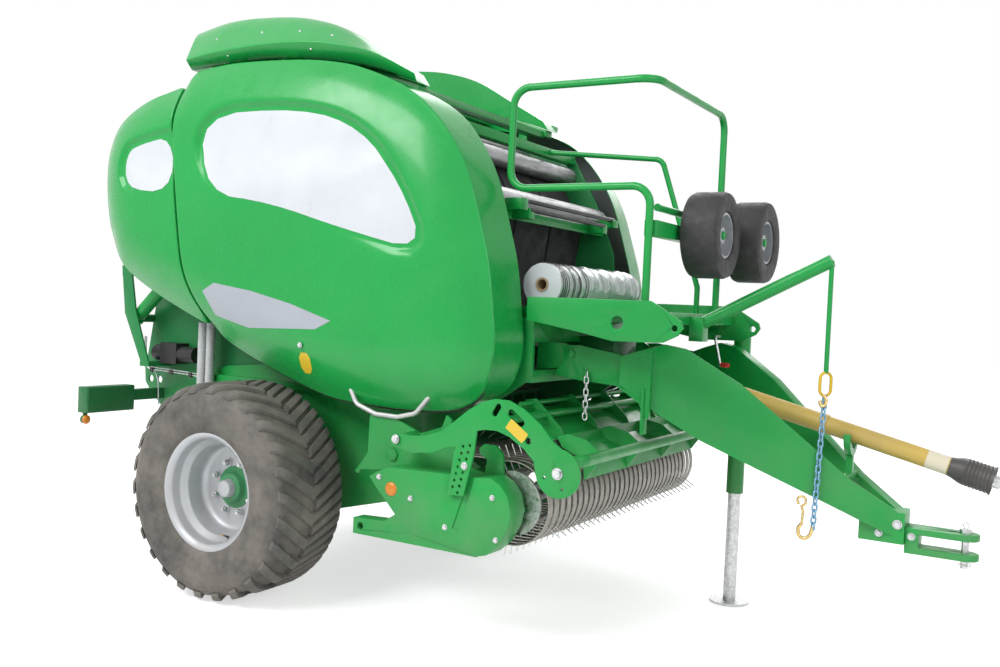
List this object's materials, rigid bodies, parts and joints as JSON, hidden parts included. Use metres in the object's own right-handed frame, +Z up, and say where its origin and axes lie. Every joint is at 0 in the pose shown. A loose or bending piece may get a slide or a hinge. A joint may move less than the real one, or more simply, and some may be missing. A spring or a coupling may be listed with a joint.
{
  "type": "round baler",
  "caption": "Towed round baler with a belt chamber, swing-up side doors and tailgate, tined pickup, drawbar with jack, drive shaft and stored gauge wheels.",
  "frame": {"origin": "middle of the machine's length and width, on the ground", "axes": "+X ahead to the tractor, +Y the machine's left, +Z up"},
  "size_m": [4.909, 2.6318, 3.197],
  "materials": {
    "green": "gloss",
    "dark_green": "gloss",
    "black_paint": "satin",
    "belt": "matt",
    "tyre": "matt",
    "silver_paint": "satin",
    "steel": "worn",
    "zinc": "bright",
    "yellow_plastic": "satin",
    "film": "clear film over white net",
    "grey_plastic": "satin",
    "chain_blue": "satin",
    "chrome": "polished"
  },
  "bodies": {
    "frame": {"main_frame": "green", "axle_beam": "green", "chamber_sides": "dark_green", "chamber_rollers": "steel", "front_belts": "belt", "top_frame": "green", "hinge_shaft": "dark_green", "hoods": "green", "drawbar": "green", "hitch": "green", "hitch_pin": "zinc", "gearbox": "dark_green", "jack_housing": "green", "platform": "green", "net_roll": "film", "guard_rails": "green", "gauge_carrier": "green", "hose_arm": "green", "safety_chain": "chain_blue", "guard_chain": "zinc", "handrail": "green", "duct_tubes": "grey_plastic"},
    "tailgate": {"rear_panels": "green", "tail_sides": "dark_green", "tail_rollers": "steel", "rear_belts": "belt", "tail_lamps": "dark_green", "valve_block": "black_paint"},
    "door_right": {"door_right": "green", "door_handle_right": "zinc"},
    "door_left": {"door_left": "green", "door_handle_left": "zinc"},
    "barrel_right": {"cylinder_barrel_right": "green"},
    "barrel_left": {"cylinder_barrel_left": "green"},
    "rod_right": {"cylinder_rod_right": "chrome"},
    "rod_left": {"cylinder_rod_left": "chrome"},
    "wheel_right": {"tyre_right": "tyre", "rim_right": "silver_paint", "hub_right": "green"},
    "wheel_left": {"tyre_left": "tyre", "rim_left": "silver_paint", "hub_left": "green"},
    "pickup": {"pickup_frame": "green", "pickup_covers": "green", "stripper_bands": "zinc"},
    "reel": {"reel": "black_paint"},
    "rotor": {"feed_rotor": "dark_green"},
    "wind_guard": {"wind_guard": "green"},
    "shaft": {"drive_shaft": "yellow_plastic"},
    "jack": {"jack_leg": "zinc"},
    "gauge_right": {"gauge_tyre_right": "tyre", "gauge_rim_right": "silver_paint"},
    "gauge_left": {"gauge_tyre_left": "tyre", "gauge_rim_left": "silver_paint"}
  },
  "joints": [
    {"name": "wheel_right_spin", "type": "hinge", "parent": "frame", "child": "wheel_right", "pos_m": [-1.165, -1.06, 0.575], "axis": [0, 1, 0], "continuous": true},
    {"name": "wheel_left_spin", "type": "hinge", "parent": "frame", "child": "wheel_left", "pos_m": [-1.165, 1.06, 0.575], "axis": [0, 1, 0], "continuous": true},
    {"name": "tailgate_hinge", "type": "hinge", "parent": "frame", "child": "tailgate", "pos_m": [-1.785, 0, 2.86], "axis": [0, 1, 0], "range_deg": [0, 60]},
    {"name": "barrel_right_swing", "type": "hinge", "parent": "tailgate", "child": "barrel_right", "pos_m": [-2.368, -0.75, 1.43], "axis": [0, 1, 0], "range_deg": [-12, 1]},
    {"name": "rod_right_slide", "type": "slide", "parent": "barrel_right", "child": "rod_right", "axis": [0.7509, 0, 0.6604], "range_m": [0, 0.6062]},
    {"name": "barrel_left_swing", "type": "hinge", "parent": "tailgate", "child": "barrel_left", "pos_m": [-2.368, 0.75, 1.43], "axis": [0, 1, 0], "range_deg": [-12, 1]},
    {"name": "rod_left_slide", "type": "slide", "parent": "barrel_left", "child": "rod_left", "axis": [0.7509, 0, 0.6604], "range_m": [0, 0.6062]},
    {"name": "door_right_hinge", "type": "hinge", "parent": "frame", "child": "door_right", "pos_m": [-1.165, -0.89, 2.862], "axis": [-1, 0, 0], "range_deg": [0, 60]},
    {"name": "door_left_hinge", "type": "hinge", "parent": "frame", "child": "door_left", "pos_m": [-1.165, 0.89, 2.862], "axis": [1, 0, 0], "range_deg": [0, 60]},
    {"name": "pickup_lift", "type": "hinge", "parent": "frame", "child": "pickup", "pos_m": [-0.205, 0, 0.85], "axis": [0, 1, 0], "range_deg": [0, 26]},
    {"name": "wind_guard_lift", "type": "hinge", "parent": "pickup", "child": "wind_guard", "pos_m": [-0.07, 0, 0.957], "axis": [0, -1, 0], "range_deg": [0, 8]},
    {"name": "reel_spin", "type": "hinge", "parent": "pickup", "child": "reel", "pos_m": [0.475, 0, 0.7], "axis": [0, 1, 0], "continuous": true},
    {"name": "rotor_spin", "type": "hinge", "parent": "frame", "child": "rotor", "pos_m": [-0.205, 0, 0.85], "axis": [0, 1, 0], "continuous": true},
    {"name": "shaft_lift", "type": "hinge", "parent": "frame", "child": "shaft", "pos_m": [0.765, 0, 1.332], "axis": [0, -1, 0], "range_deg": [0, 18]},
    {"name": "jack_slide", "type": "slide", "parent": "frame", "child": "jack", "axis": [0, 0, 1], "range_m": [0, 0.4]},
    {"name": "gauge_right_spin", "type": "hinge", "parent": "frame", "child": "gauge_right", "pos_m": [1.125, -0.25, 2], "axis": [1, 0, 0], "continuous": true},
    {"name": "gauge_left_spin", "type": "hinge", "parent": "frame", "child": "gauge_left", "pos_m": [1.195, 0.21, 2], "axis": [1, 0, 0], "continuous": true}
  ],
  "couplings": [
    {"joint": "barrel_right_swing", "follows": "tailgate_hinge", "ratio": -0.19534},
    {"joint": "rod_right_slide", "follows": "tailgate_hinge", "m_per_rad": 0.56937},
    {"joint": "barrel_left_swing", "follows": "tailgate_hinge", "ratio": -0.19534},
    {"joint": "rod_left_slide", "follows": "tailgate_hinge", "m_per_rad": 0.56937}
  ]
}
